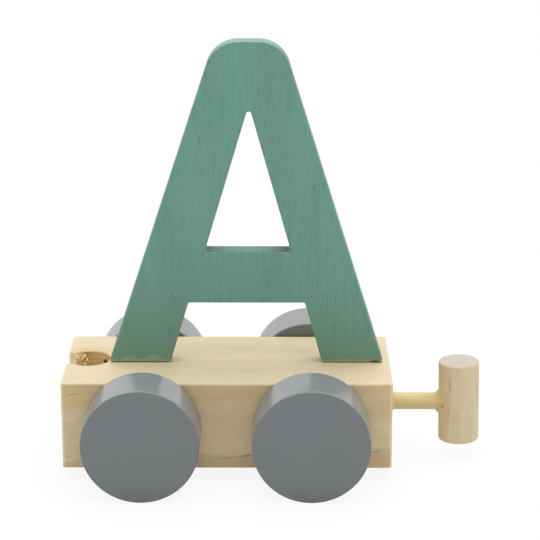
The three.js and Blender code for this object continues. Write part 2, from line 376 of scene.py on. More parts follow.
def apart(tree, place, other):
    """How far apart two places are."""
    return vectors(tree, "DISTANCE", place, other)["Value"]


def axes(tree, vector):
    """A vector's X, Y and Z."""
    return add(tree, "ShaderNodeSeparateXYZ", {0: vector}).outputs


def facing(tree):
    """Which way the surface faces, as X, Y and Z."""
    return axes(tree, add(tree, "ShaderNodeTexCoord").outputs["Normal"])


def noise(tree, vector, scale, detail=2.0, roughness=0.5):
    """Noise over a place that is stretched first."""
    place = stretch(tree, vector, scale)
    sockets = {"Vector": place, "Scale": 1.0, "Detail": detail, "Roughness": roughness}
    return add(tree, "ShaderNodeTexNoise", sockets).outputs[0]


def between(tree, value, low, high, to_low=0.0, to_high=1.0):
    """A value moved smoothly from one range to another."""
    sockets = {"Value": value, "From Min": low, "From Max": high, "To Min": to_low, "To Max": to_high}
    return add(tree, "ShaderNodeMapRange", sockets, interpolation_type="SMOOTHSTEP").outputs[0]


MIX_SHARE = 0
MIX_UNDER = 6
MIX_OVER = 7
MIX_RESULT = 2


def mixed(tree, share, under, over):
    """One colour laid over another by a share, through the mixing node's sockets for colours."""
    sockets = {MIX_SHARE: share, MIX_UNDER: under, MIX_OVER: over}
    return add(tree, "ShaderNodeMix", sockets, data_type="RGBA").outputs[MIX_RESULT]


def tinted(tree, under, over, mask, strength):
    """One colour laid over another by a mask, up to a strength."""
    return mixed(tree, times(tree, mask, strength), under, over)


def patchy(tree, under, over, mask, low, high, strength=1.0):
    """One colour laid over another where a mask rises between two levels, up to a strength."""
    return mixed(tree, between(tree, mask, low, high, 0.0, strength), under, over)


GRAIN_TURNS = {"X": 0.0, "sloping": 2.5, "Z": 90.0}


def grain_place(tree, along):
    """The place on the piece in millimetres, turned about Y so that the grain runs along X."""
    place = add(tree, "ShaderNodeTexCoord").outputs["Object"]
    turn = (0, math.radians(GRAIN_TURNS[along]), 0)
    sockets = {"Vector": place, "Rotation": turn, "Scale": (1 / MM, 1 / MM, 1 / MM)}
    return add(tree, "ShaderNodeMapping", sockets).outputs[0]


def new_finish(name):
    """A new material, its node tree and its shader."""
    finish = bpy.data.materials.new(name)
    finish.use_nodes = True
    return finish, finish.node_tree, finish.node_tree.nodes["Principled BSDF"]


def dress(tree, shader, base, roughness, relief, strength, depth):
    """Gives a shader its colour, its roughness and a fine relief with a depth in millimetres."""
    bump = add(tree, "ShaderNodeBump", {"Height": relief, "Strength": strength, "Distance": depth * MM})
    fill(tree, shader, {"Base Color": base, "Roughness": roughness, "Normal": bump.outputs[0]})


def new_group(name, inputs, outputs):
    """An empty node group with named inputs of given kinds and outputs that are values."""
    group = bpy.data.node_groups.new(name, "ShaderNodeTree")
    for socket, kind in inputs.items():
        group.interface.new_socket(socket, in_out="INPUT", socket_type=kind)
    for socket in outputs:
        group.interface.new_socket(socket, in_out="OUTPUT", socket_type="NodeSocketFloat")
    return group


GRAIN_INPUTS = {
    "Place": "NodeSocketVector",
    "Pith": "NodeSocketVector",
    "Ring Width": "NodeSocketFloat",
    "Wander": "NodeSocketFloat",
}
wood_grain = new_group("wood_grain", GRAIN_INPUTS, ("Rings", "Tone", "Fibre", "Pores"))
given = add(wood_grain, "NodeGroupInput").outputs
from_pith = vectors(wood_grain, "SUBTRACT", given["Place"], given["Pith"])["Vector"]
across = stretch(wood_grain, from_pith, (0, 1, 1))
out_from_pith = add(wood_grain, "ShaderNodeVectorMath", {0: across}, operation="LENGTH").outputs["Value"]
drift = maths(wood_grain, "SUBTRACT", noise(wood_grain, given["Place"], (0.03, 0.09, 0.09), detail=3.0), 0.5)
wandered = maths(wood_grain, "ADD", out_from_pith, times(wood_grain, drift, given["Wander"]))
in_rings = maths(wood_grain, "DIVIDE", wandered, given["Ring Width"])
ring_phase = maths(wood_grain, "FRACT", in_rings)
ring_number = maths(wood_grain, "FLOOR", in_rings)
ring_luck = add(wood_grain, "ShaderNodeTexWhiteNoise", {"W": ring_number}, noise_dimensions="1D").outputs[0]
rising = between(wood_grain, ring_phase, 0.45, 0.93)
falling = between(wood_grain, ring_phase, 0.95, 1.0, 1.0, 0.0)
ring_strength = between(wood_grain, ring_luck, 0.15, 0.95, 0.15, 1.0)
rings = times(wood_grain, times(wood_grain, rising, falling), ring_strength)
lengthwise = axes(wood_grain, given["Place"])["X"]
on_rings = add(wood_grain, "ShaderNodeCombineXYZ", {0: lengthwise, 1: in_rings}).outputs[0]
tone = noise(wood_grain, on_rings, (0.015, 0.55, 1.0))
fibre = noise(wood_grain, given["Place"], (0.09, 1.5, 1.5), detail=4.0, roughness=0.55)
pores = between(wood_grain, noise(wood_grain, given["Place"], (0.32, 5.5, 5.5)), 0.58, 0.7)
add(wood_grain, "NodeGroupOutput", {"Rings": rings, "Tone": tone, "Fibre": fibre, "Pores": pores})


def grain(tree, place, pith, ring_width, wander):
    """The wood's figure at a place, as masks."""
    sockets = {"Place": place, "Pith": pith, "Ring Width": ring_width, "Wander": wander}
    return add(tree, "ShaderNodeGroup", sockets, node_tree=wood_grain).outputs


STROKE_WAVER = 0.7
STROKE_CORE = 0.2


def stroke(tree, place, start, end, width):
    """A thin mark between two points, as a mask that wavers and fades out at its sides and ends."""
    start, end = Vector(start), Vector(end)
    along = (end - start) / (end - start).length_squared
    reach = vectors(tree, "SUBTRACT", place, start)["Vector"]
    share = vectors(tree, "DOT_PRODUCT", reach, along)["Value"]
    held = add(tree, "ShaderNodeClamp", {0: share}).outputs[0]
    foot = add(tree, "ShaderNodeVectorMath", {0: end - start, "Scale": held}, operation="SCALE").outputs[0]
    waver = times(tree, noise(tree, place, (0.8, 2.0, 2.0)), width * STROKE_WAVER)
    away = maths(tree, "ADD", apart(tree, reach, foot), waver)
    thin = between(tree, away, width * STROKE_CORE, width, 1.0, 0.0)
    growing = between(tree, share, 0.0, 0.5)
    fading = between(tree, share, 0.6, 1.0, 1.0, 0.0)
    return times(tree, thin, times(tree, growing, fading))


def with_dark_strokes(tree, base, place, marks):
    """A colour with dark strokes on it, each given by its start, its end, its width and its strength."""
    for start, end, width, strength in marks:
        base = tinted(tree, base, colour(112, 78, 44), stroke(tree, place, start, end, width), strength)
    return base


BLOCK_LOW_SHADE = (6.2, 7.8)
TAN_BAND = (16.7, 18.0)
TAN_BAND_END = (18.9, 19.4)
SOCKET_TINT_SPOT = (SOCKET_X, SOCKET_Y + 2.5, 0)
SOCKET_TINT_REACH = (1.7, 6.2)
SCRATCHES_AND_SHADE_LINE = (
    ((-40.2, near, 17.2), (-36.0, near, 17.9), 0.42, 0.42),
    ((-40.6, near, 4.8), (-38.4, near, 4.85), 0.42, 0.4),
    ((-12.0, near, 4.45), (-5.2, near, 4.95), 0.5, 0.3),
    ((-7.2, near, 4.7), (-3.6, near, 5.45), 0.42, 0.7),
    ((17.4, near, 5.75), (21.6, near, 6.3), 0.42, 0.6),
    ((-2.6, 1.2, block_top), (0.8, -0.2, block_top), 0.3, 0.3),
    # These last two strokes make a faint dark line on the top along the letter's base: painted shade under
    # the letter.
    ((-32.0, -1.0, block_top), (-1.0, -1.2, block_top), 1.5, 0.13),
    ((-8.0, -1.1, block_top), (22.0, -1.0, block_top), 1.5, 0.13),
)
pine, tree, shader = new_finish("bare_pine")
straight = grain_place(tree, "X")
sloping = grain_place(tree, "sloping")
figure = grain(tree, sloping, pith=(0.0, 22.0, -63.4), ring_width=3.7, wander=2.2)
level = axes(tree, sloping)["Z"]
height = axes(tree, straight)["Z"]
turned_to = facing(tree)
cream = patchy(tree, colour(242, 223, 183), colour(236, 215, 169), figure["Tone"], 0.3, 0.7)
streaked = patchy(tree, cream, colour(212, 184, 134), figure["Fibre"], 0.35, 0.8, strength=0.22)
blotch = noise(tree, straight, (0.14, 0.3, 0.3), detail=4.0, roughness=0.65)
blotched = patchy(tree, streaked, colour(218, 194, 150), blotch, 0.36, 0.62, strength=0.32)
cloud = noise(tree, sloping, (0.05, 0.25, 0.25), detail=3.0)
clouded = patchy(tree, blotched, colour(222, 192, 140), cloud, 0.4, 0.7, strength=0.3)
# The block is painted darker and browner towards its bottom: painted shade.
low_level = maths(tree, "ADD", level, times(tree, cloud, 3.0))
block_low_shade = between(tree, low_level, *BLOCK_LOW_SHADE, 0.44, 0.0)
block_low_shaded = mixed(tree, block_low_shade, clouded, colour(204, 166, 114))
high_level = maths(tree, "ADD", level, times(tree, cloud, 1.5))
below_top = between(tree, height, *TAN_BAND_END, 1.0, 0.0)
tan_band = times(tree, between(tree, high_level, *TAN_BAND, 0.0, 0.42), below_top)
tanned = mixed(tree, tan_band, block_low_shaded, colour(226, 190, 122))
ringed = tinted(tree, tanned, colour(176, 132, 80), figure["Rings"], strength=0.13)
pored = tinted(tree, ringed, colour(168, 124, 76), figure["Pores"], strength=0.08)
# Upward faces are painted paler and less yellow: painted sheen on the top.
top_sheen_lit = patchy(tree, pored, colour(238, 224, 196), turned_to["Z"], 0.5, 0.9, strength=0.4)
# The top is painted browner towards a spot beside the socket, fading out within a few millimetres.
from_spot = apart(tree, stretch(tree, straight, (1, 1, 0)), SOCKET_TINT_SPOT)
browner_by_socket = mixed(tree, between(tree, from_spot, *SOCKET_TINT_REACH, 0.42, 0.0), top_sheen_lit, colour(206, 164, 104))
marked = with_dark_strokes(tree, browner_by_socket, straight, SCRATCHES_AND_SHADE_LINE)
end_turn = maths(tree, "ABSOLUTE", turned_to["X"])
# Faces turned partly towards the ends, on the rounded corners and edges, are painted near white: painted
# highlight.
off_side = between(tree, end_turn, 0.08, 0.4, 0.0, 0.25)
off_end = between(tree, end_turn, 0.8, 0.97, 1.0, 0.0)
painted_highlight = mixed(tree, times(tree, off_side, off_end), marked, colour(252, 242, 220))
speckle = noise(tree, sloping, (0.4, 6.0, 6.0), detail=3.0, roughness=0.7)
sawn = mixed(tree, between(tree, speckle, 0.35, 0.7, 0.2, 0.6), painted_highlight, colour(198, 160, 106))
ringed_end = tinted(tree, sawn, colour(158, 112, 64), figure["Rings"], strength=0.4)
bare = patchy(tree, painted_highlight, ringed_end, end_turn, 0.85, 0.99)
sheen = between(tree, figure["Fibre"], 0.2, 0.8, 0.46, 0.6)
relief = maths(tree, "SUBTRACT", figure["Fibre"], times(tree, figure["Pores"], 0.4))
dress(tree, shader, bare, sheen, relief, strength=0.2, depth=0.05)

SLOT_SIDES = (SOCKET_X - 2.3, SOCKET_X - 1.3)
PIT_X = SOCKET_X + 3.0
PIT = (PIT_X, socket_wall(PIT_X), block_top - 1.8)
PIT_EDGE = (0.62, 0.95)
routed, tree, shader = new_finish("routed_pine")
place = grain_place(tree, "X")
marks = noise(tree, place, (0.22, 1.7, 1.7), detail=4.0, roughness=0.65)
burnt = patchy(tree, colour(232, 204, 146), colour(204, 168, 104), marks, 0.3, 0.7)
# The slot's walls are painted near white: painted light against the shade inside the slot.
in_slot = between(tree, axes(tree, place)["X"], *SLOT_SIDES, 1.0, 0.0)
walls_slot_lit = mixed(tree, in_slot, burnt, colour(255, 236, 192))
# A dark spot on the socket's wall: painted shade of a small pit that the shape does not have.
from_pit = maths(tree, "ADD", apart(tree, place, PIT), times(tree, marks, 0.5))
pit_shaded = mixed(tree, between(tree, from_pit, *PIT_EDGE, 1.0, 0.0), walls_slot_lit, colour(66, 42, 18))
dress(tree, shader, pit_shaded, roughness=0.8, relief=marks, strength=0.6, depth=0.15)

torn, tree, shader = new_finish("torn_pine")
strands = noise(tree, grain_place(tree, "X"), (1.0, 4.0, 4.0), detail=3.0)
# The torn fibres are pale fresh wood, painted paler still as painted light against the shade inside the
# socket.
straw = patchy(tree, colour(255, 240, 204), colour(248, 216, 158), strands, 0.35, 0.65)
sheen = between(tree, strands, 0.3, 0.7, 0.7, 0.85)
dress(tree, shader, straw, sheen, strands, strength=0.4, depth=0.1)
for finish in (pine, routed, torn):
    block.data.materials.append(finish)
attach(block, "chassis")
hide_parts("chassis_block")

# The two axles: plain dowels that run in the block's bores and are glued into the wheels at both ends. The
# letter's two pins: short thin dowels glued into its feet and the block. All are bare and hidden when built.
dowel, tree, shader = new_finish("bare_dowel")
figure = grain(tree, grain_place(tree, "Z"), pith=(0.0, 3.0, -9.0), ring_width=1.2, wander=2.0)
pale = patchy(tree, colour(217, 196, 158), colour(206, 182, 142), figure["Tone"], 0.3, 0.7)
streaked = patchy(tree, pale, colour(182, 150, 108), figure["Fibre"], 0.4, 0.75, strength=0.5)
ringed = tinted(tree, streaked, colour(176, 140, 98), figure["Rings"], strength=0.3)
sheen = between(tree, figure["Fibre"], 0.2, 0.8, 0.6, 0.75)
dress(tree, shader, ringed, sheen, figure["Fibre"], strength=0.25, depth=0.05)
for node in ("front_axle", "rear_axle", "letter_pin_front", "letter_pin_rear"):
    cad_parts[node].data.materials.clear()
    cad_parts[node].data.materials.append(dowel)

# The four wheels: plain discs turned from solid wood and dipped in a grey semi-gloss enamel, their treads
# painted paler than their faces as painted light. They are glued onto the axles' ends through blind bores
# in their inner faces.
WHEEL_RIM = 0.32
WHEEL_BORE = 5.2
WHEEL_BORE_DEPTH = 7.1
WHEEL_SIDES = 128
ENAMEL_IOR = 1.6


def quarter_round(radius, height, size, start, steps=6):
    """The rounded edge of a turned profile, as points (radius, height)."""
    angles = [math.radians(start + 90 * i / steps) for i in range(steps + 1)]
    return [(radius + size * math.cos(a), height + size * math.sin(a)) for a in angles]


def turned(profile, sides):
    """A body turned about its own Z axis from a profile that starts and ends on the axis."""
    points = [(0, 0, profile[0][1])]
    faces = []
    rings = profile[1:-1]
    for radius, height in rings:
        for i in range(sides):
            angle = 2 * math.pi * i / sides
            points.append((radius * math.cos(angle), radius * math.sin(angle), height))
    points.append((0, 0, profile[-1][1]))
    last = len(points) - 1
    for i in range(sides):
        after = (i + 1) % sides
        faces.append((0, 1 + after, 1 + i))
        for ring in range(len(rings) - 1):
            low = 1 + ring * sides
            faces.append((low + i, low + after, low + sides + after, low + sides + i))
        top = 1 + (len(rings) - 1) * sides
        faces.append((top + i, top + after, last))
    return points, faces


paint_film = new_group("paint_film", {"Place": "NodeSocketVector"}, ("Peel", "Smudge", "Dust", "Mottle"))
given = add(paint_film, "NodeGroupInput").outputs
peel = noise(paint_film, given["Place"], (0.5, 0.5, 0.5), detail=1.0, roughness=0.4)
smudge = noise(paint_film, given["Place"], (0.12, 0.12, 0.12), detail=1.0)
dust = between(paint_film, noise(paint_film, given["Place"], (3.5, 3.5, 3.5), detail=1.0), 0.74, 0.8)
mottle = noise(paint_film, given["Place"], (1.6, 1.6, 1.6), detail=3.0, roughness=0.7)
add(paint_film, "NodeGroupOutput", {"Peel": peel, "Smudge": smudge, "Dust": dust, "Mottle": mottle})


def film(tree, place):
    """The unevenness of a coat of paint at a place, as masks."""
    return add(tree, "ShaderNodeGroup", {"Place": place}, node_tree=paint_film).outputs


enamel, tree, shader = new_finish("grey_enamel")
coat = film(tree, grain_place(tree, "X"))
grey = patchy(tree, colour(122, 126, 128), colour(124, 128, 130), coat["Smudge"], 0.3, 0.7)
mottled = patchy(tree, grey, colour(120, 124, 127), coat["Mottle"], 0.3, 0.7, strength=0.5)
dusty = tinted(tree, mottled, colour(170, 170, 168), coat["Dust"], strength=0.25)
# The treads are painted paler than the faces: painted light on the treads.
on_tread = between(tree, maths(tree, "ABSOLUTE", facing(tree)["Y"]), 0.3, 0.7, 1.0, 0.0)
tread_light = times(tree, on_tread, between(tree, coat["Mottle"], 0.3, 0.7, 0.7, 0.9))
tread_lit = mixed(tree, tread_light, dusty, colour(147, 150, 150))
gloss = between(tree, coat["Mottle"], 0.25, 0.75, 0.2, 0.24)
dress(tree, shader, tread_lit, gloss, coat["Peel"], strength=0.06, depth=0.03)
shader.inputs["IOR"].default_value = ENAMEL_IOR

for node in ("front_left_wheel", "front_right_wheel", "rear_left_wheel", "rear_right_wheel"):
    low, high = box_in_mm(node)
    middle = (low + high) / 2
    radius = (high.z - low.z) / 2
    width = high.y - low.y
    bore = WHEEL_BORE / 2
    profile = [(0, WHEEL_BORE_DEPTH), (bore, WHEEL_BORE_DEPTH), (bore, 0)]
    profile += quarter_round(radius - WHEEL_RIM, WHEEL_RIM, WHEEL_RIM, -90)
    profile += quarter_round(radius - WHEEL_RIM, width - WHEEL_RIM, WHEEL_RIM, 0)
    profile += [(0, width)]
    points, faces = turned(profile, WHEEL_SIDES)
    if "left" in node:
        points = [(middle.x + b, low.y + h, middle.z + a) for a, b, h in points]
    else:
        points = [(middle.x + a, high.y - h, middle.z + b) for a, b, h in points]
    wheel = new_piece(node.replace("wheel", "enamelled_wheel"), points, faces)
    smooth(wheel)
    wheel.data.materials.append(enamel)
    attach(wheel, "front_wheelset" if "front" in node else "rear_wheelset")
    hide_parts(node)

# The letter: a capital A sawn from a thin board, its edges sanded round, and brushed with a thin muted green
# paint that shows the board's upright pores. It is glued on edge to the block with a pin in each foot, and
# some of the glue is smeared on the rear foot.
letter_low, letter_high = box_in_mm("letter_a")
letter_foot = letter_low.z + BLOCK_TALLER
LETTER_FROM_FRONT = 0.95
LETTER_FROM_REAR = 8.75
LETTER_SET_BACK = 0.34
LETTER_LEAN = 0.5
LETTER_EDGE = 0.42
LETTER_TOP_EDGE = 0.15
LETTER_TOP_CORNER = 6.2
LETTER_TOP_HALF = 6.4
INNER_CORNER = 0.4
FOOT_CORNER = 0.4
FOOT_WIDTH = 11.9
COUNTER_SHIFT = 0.18
COUNTER_TOP = 51.1
COUNTER_TOP_CORNER = 0.5
CROSSBAR_LOW = 12.1
CROSSBAR_HIGH = 22.5
LETTER_PIN_DEPTH = 4.6


def rounded_corners(corners):
    """A closed loop through corners of (u, v, corner radius), with arcs at the corners."""
    loop = []
    for i, (u, v, radius) in enumerate(corners):
        corner = Vector((u, v))
        before = (Vector(corners[i - 1][:2]) - corner).normalized()
        after = (Vector(corners[(i + 1) % len(corners)][:2]) - corner).normalized()
        half = before.angle(after) / 2
        centre = corner + (before + after).normalized() * radius / math.sin(half)
        start = corner + before * radius / math.tan(half) - centre
        end = corner + after * radius / math.tan(half) - centre
        sweep = math.degrees(start.angle_signed(end))
        first = math.degrees(math.atan2(start.y, start.x))
        bend = arc(centre.x, centre.y, radius, first, first - sweep, step=0.25)
        if loop:
            loop += line(loop[-1], bend[0], step=3.0)
        loop += bend
    loop += line(loop[-1], loop[0], step=3.0)
    return loop


half_span = (right - left - LETTER_FROM_FRONT - LETTER_FROM_REAR) / 2
letter_x = right - LETTER_FROM_FRONT - half_span - LETTER_SET_BACK
tall = letter_high.z - letter_foot


def gap(height):
    """Half the opening between the legs at a height above the feet."""
    return (half_span - FOOT_WIDTH) * (1 - height / COUNTER_TOP)


def letter_edge(height):
    """The radius of the letter's edges at a height above the feet, sharper over its rounded top."""
    share = min((tall - height) / LETTER_TOP_CORNER, 1.0)
    return LETTER_TOP_EDGE + (LETTER_EDGE - LETTER_TOP_EDGE) * share


outline = [
    (-half_span, 0, FOOT_CORNER),
    (-gap(0), 0, FOOT_CORNER),
    (-gap(CROSSBAR_LOW), CROSSBAR_LOW, INNER_CORNER),
    (gap(CROSSBAR_LOW), CROSSBAR_LOW, INNER_CORNER),
    (gap(0), 0, FOOT_CORNER),
    (half_span, 0, FOOT_CORNER),
    (LETTER_TOP_HALF, tall, LETTER_TOP_CORNER),
    (-LETTER_TOP_HALF, tall, LETTER_TOP_CORNER),
]
counter = [
    (COUNTER_SHIFT, COUNTER_TOP, COUNTER_TOP_CORNER),
    (COUNTER_SHIFT + gap(CROSSBAR_HIGH), CROSSBAR_HIGH, INNER_CORNER),
    (COUNTER_SHIFT - gap(CROSSBAR_HIGH), CROSSBAR_HIGH, INNER_CORNER),
]
letter_loops = []
for corners in (outline, counter):
    letter_loops.append([(u, v, letter_edge(v)) for u, v in rounded_corners(corners)])
points, faces = rounded_plate(letter_loops, letter_low.y, letter_high.y)
points = [(letter_x + u + LETTER_LEAN * v / tall, -w, letter_foot + v) for u, v, w in points]
letter = new_piece("letter", points, faces)
pin_top = letter_low.z + LETTER_PIN_DEPTH
for pin in pin_places:
    drill(letter, (pin.x, 0, letter_low.z - BIT_CLEAR), (pin.x, 0, pin_top), PIN_BORE)
smooth(letter)

LETTER_LOW_SHADE_TOP = letter_foot + 20
PALE_FOOT_STRIP = (letter_foot + 0.15, letter_foot + 0.75)
FRONT_FACE = (0.0, letter_low.y * 0.8)
GLUE_SMEARS = ((-28.0, 2.1, 1.35), (-23.4, 2.6, 1.65))
FOOT_GAP_SHADE = (19.7, 1.3, 0.5)
FOOT_MARK_EDGE = (0.85, 1.1)
ABOVE_CROSSBAR = (letter_foot + CROSSBAR_HIGH + 1.0, letter_foot + CROSSBAR_HIGH + 2.0)
SHADED_CORNERS = (2.0, 8.0)
TOP_EDGE = (letter_high.z - 2.0, letter_high.z - 0.5)


def at_foot(tree, spot, at, half, height):
    """A low dome on the letter's foot, with its place along X, its half width and its height, as a mask."""
    sideways = maths(tree, "DIVIDE", maths(tree, "SUBTRACT", spot["X"], at), half)
    upward = maths(tree, "DIVIDE", maths(tree, "SUBTRACT", spot["Z"], letter_foot), height)
    reach = maths(tree, "ADD", maths(tree, "POWER", sideways, 2.0), upward)
    return between(tree, reach, *FOOT_MARK_EDGE, 1.0, 0.0)


green_paint, tree, shader = new_finish("green_paint")
upright = grain_place(tree, "Z")
spot = axes(tree, grain_place(tree, "X"))
turned_up = facing(tree)["Z"]
figure = grain(tree, upright, pith=(0.0, 0.0, -40.0), ring_width=4.0, wander=6.0)
coat = film(tree, upright)
green = patchy(tree, colour(117, 169, 155), colour(112, 162, 148), figure["Tone"], 0.3, 0.7)
brushed = patchy(tree, green, colour(100, 150, 136), figure["Fibre"], 0.4, 0.75, strength=0.5)
# The letter is painted darker and yellower towards its feet: painted shade and painted bounce light from the
# block.
letter_low_shade = between(tree, spot["Z"], letter_foot, LETTER_LOW_SHADE_TOP, 0.55, 0.0)
letter_low_shaded = mixed(tree, letter_low_shade, brushed, colour(110, 148, 119))
crowding = between(tree, noise(tree, upright, (0.03, 0.3, 0.3)), 0.38, 0.62, 0.3, 0.85)
pored = tinted(tree, letter_low_shaded, colour(70, 119, 105), figure["Pores"], crowding)
# The foot's lowest strip is painted paler: painted light against the shade where it meets the block.
foot_strip_paled = mixed(tree, between(tree, spot["Z"], *PALE_FOOT_STRIP, 0.75, 0.0), pored, colour(178, 200, 152))
on_front = between(tree, spot["Y"], *FRONT_FACE)
smears = [at_foot(tree, spot, *smear) for smear in GLUE_SMEARS]
glue = times(tree, maths(tree, "MAXIMUM", *smears), on_front)
glued = tinted(tree, foot_strip_paled, colour(146, 180, 156), glue, strength=0.5)
# A dark spot under the right foot's front corner: painted shade of a gap under the foot.
foot_gap_shade = times(tree, at_foot(tree, spot, *FOOT_GAP_SHADE), on_front)
gap_shaded = tinted(tree, glued, colour(70, 74, 48), foot_gap_shade, strength=0.85)
# The crossbar's upward face is painted darker, a little in the middle and most into the counter's corners:
# painted shade.
up_to_crossbar = between(tree, spot["Z"], *ABOVE_CROSSBAR, 1.0, 0.0)
crossbar_top = times(tree, between(tree, turned_up, 0.5, 0.95), up_to_crossbar)
from_middle = maths(tree, "ABSOLUTE", maths(tree, "SUBTRACT", spot["X"], letter_x))
crossbar_shade = times(tree, crossbar_top, between(tree, from_middle, *SHADED_CORNERS, 0.3, 0.95))
crossbar_shaded = mixed(tree, crossbar_shade, gap_shaded, colour(66, 84, 70))
# The letter's upward faces near its top are painted near white: painted highlight.
painted_highlight = between(tree, turned_up, 0.6, 0.95, 0.0, 0.12)
top_highlight = times(tree, painted_highlight, between(tree, spot["Z"], *TOP_EDGE))
top_highlighted = mixed(tree, top_highlight, crossbar_shaded, colour(232, 238, 232))
satin = between(tree, coat["Smudge"], 0.25, 0.75, 0.42, 0.55)
sheen = maths(tree, "SUBTRACT", satin, times(tree, glue, 0.12))
film_relief = maths(tree, "SUBTRACT", coat["Peel"], times(tree, figure["Pores"], 1.2))
relief = maths(tree, "ADD", film_relief, times(tree, glue, 2.0))
dress(tree, shader, top_highlighted, sheen, relief, strength=0.3, depth=0.06)
letter.data.materials.append(green_paint)
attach(letter, "chassis")
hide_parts("letter_a")

# The drawbar: a smooth yellowish rod glued into the block's front end and into the peg, with a neat cone of
# glue-filled wood where it meets each. The one at the peg is hollowed to fit round it, and the joint there
# has opened a little.
bar_low, bar_high = box_in_mm("drawbar")
peg_low, peg_high = box_in_mm("coupling_peg")
peg_middle = (peg_low + peg_high) / 2
peg_radius = (peg_high.y - peg_low.y) / 2
BAR_RADIUS = 1.65
BAR_SIDES = 64
BLOCK_FLARE = 1.1
PEG_FLARE = 0.8
FLARE_SOFTNESS = 0.1
FLARE_REACH = 2.4
FLARE_STEPS = 24
OPEN_JOINT = ((33.1, -2.35, 11.5), (33.05, -2.2, 9.9))
OPEN_JOINT_WIDTH = 0.9


def flare(size, distance):
    """How far a cone stands out from the rod at a distance from what it meets."""
    return FLARE_SOFTNESS * math.log(1 + math.exp((size - distance) / FLARE_SOFTNESS))


def bar_ring(radius, reach):
    """One ring round the rod, where reach gives its place along X from how far to the side a point is."""
    ring = []
    for i in range(BAR_SIDES):
        angle = 2 * math.pi * i / BAR_SIDES
        side = radius * math.cos(angle)
        ring.append((reach(side), side, axle_height + radius * math.sin(angle)))
    return ring


def on_peg(side):
    """Where the peg's surface is along X, that far to its side."""
    return peg_middle.x - math.sqrt(peg_radius**2 - side**2)


flare_places = [FLARE_REACH * i / FLARE_STEPS for i in range(FLARE_STEPS + 1)]
bar_rings = [bar_ring(BAR_RADIUS, lambda side: bar_low.x), bar_ring(BAR_RADIUS, lambda side: right)]
for out in flare_places:
    bar_rings.append(bar_ring(BAR_RADIUS + flare(BLOCK_FLARE, out), lambda side: right + out))
for out in reversed(flare_places):
    bar_rings.append(bar_ring(BAR_RADIUS + flare(PEG_FLARE, out), lambda side: on_peg(side) - out))
bar_rings.append(bar_ring(BAR_RADIUS, on_peg))
bar_rings.append(bar_ring(BAR_RADIUS, lambda side: bar_high.x))
points = [point for ring in bar_rings for point in ring]
faces = [tuple(range(BAR_SIDES - 1, -1, -1))]
for ring in range(len(bar_rings) - 1):
    for i in range(BAR_SIDES):
        a = ring * BAR_SIDES + i
        b = ring * BAR_SIDES + (i + 1) % BAR_SIDES
        faces.append((a, b, b + BAR_SIDES, a + BAR_SIDES))
faces.append(tuple(range(len(points) - BAR_SIDES, len(points))))
bar = new_piece("drawbar_rod", points, faces)
smooth(bar, angle=50)

yellow_wood, tree, shader = new_finish("yellow_rod")
place = grain_place(tree, "X")
figure = grain(tree, place, pith=(0.0, 2.0, 4.0), ring_width=0.9, wander=1.2)
straw = patchy(tree, colour(230, 212, 158), colour(224, 206, 148), figure["Tone"], 0.3, 0.7)
streaked = patchy(tree, straw, colour(204, 180, 120), figure["Fibre"], 0.4, 0.75, strength=0.4)
ringed = tinted(tree, streaked, colour(196, 166, 104), figure["Rings"], strength=0.2)
open_joint = stroke(tree, place, *OPEN_JOINT, OPEN_JOINT_WIDTH)
opened = tinted(tree, ringed, colour(92, 64, 28), open_joint, strength=0.6)
sheen = between(tree, figure["Fibre"], 0.2, 0.8, 0.42, 0.56)
dress(tree, shader, opened, sheen, figure["Fibre"], strength=0.15, depth=0.04)
bar.data.materials.append(yellow_wood)
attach(bar, "chassis")
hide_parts("drawbar")

# The coupling peg: a short length of pale hardwood dowel with broken edges and fine drying cracks, bare, and
# drilled from behind for the drawbar. It stands upright in the next wagon's socket.
PEG_EDGE = 0.45
PEG_SIDES = 96
PEG_BORE_DEPTH = 5.1
PEG_LIFT = 0.35
PEG_TILT = 1.0
PEG_SLIMMER = 0.05
PEG_SHIFT = -0.1
PEG_CRACKS = (
    ((34.1, -3.3, 17.6), (34.45, -3.46, 13.7), 0.46, 0.5),
    ((33.5, -2.75, 17.0), (33.6, -2.83, 15.2), 0.42, 0.25),
    ((35.6, -3.88, 10.8), (36.05, -3.94, 7.4), 0.42, 0.22),
    ((35.2, -3.8, 10.0), (35.35, -3.81, 7.6), 0.42, 0.2),
    ((34.0, -3.2, 10.9), (34.25, -3.35, 9.0), 0.5, 0.25),
)
peg_half = (peg_high.z - peg_low.z) / 2
peg_inside = peg_radius - PEG_SLIMMER - PEG_EDGE
profile = [(0, -peg_half)]
profile += quarter_round(peg_inside, PEG_EDGE - peg_half, PEG_EDGE, -90)
profile += quarter_round(peg_inside, peg_half - PEG_EDGE, PEG_EDGE, 0)
profile += [(0, peg_half)]
points, faces = turned(profile, PEG_SIDES)
tilt = Matrix.Rotation(math.radians(-PEG_TILT), 3, "Y")
peg_place = peg_middle + Vector((PEG_SHIFT, 0, PEG_LIFT))
points = [tuple(tilt @ Vector(point) + peg_place) for point in points]
peg = new_piece("peg", points, faces)
bore_end = peg_low.x + PEG_BORE_DEPTH
drill(peg, (peg_low.x - BIT_CLEAR, 0, axle_height), (bore_end, 0, axle_height), DRAWBAR_BORE)
smooth(peg)

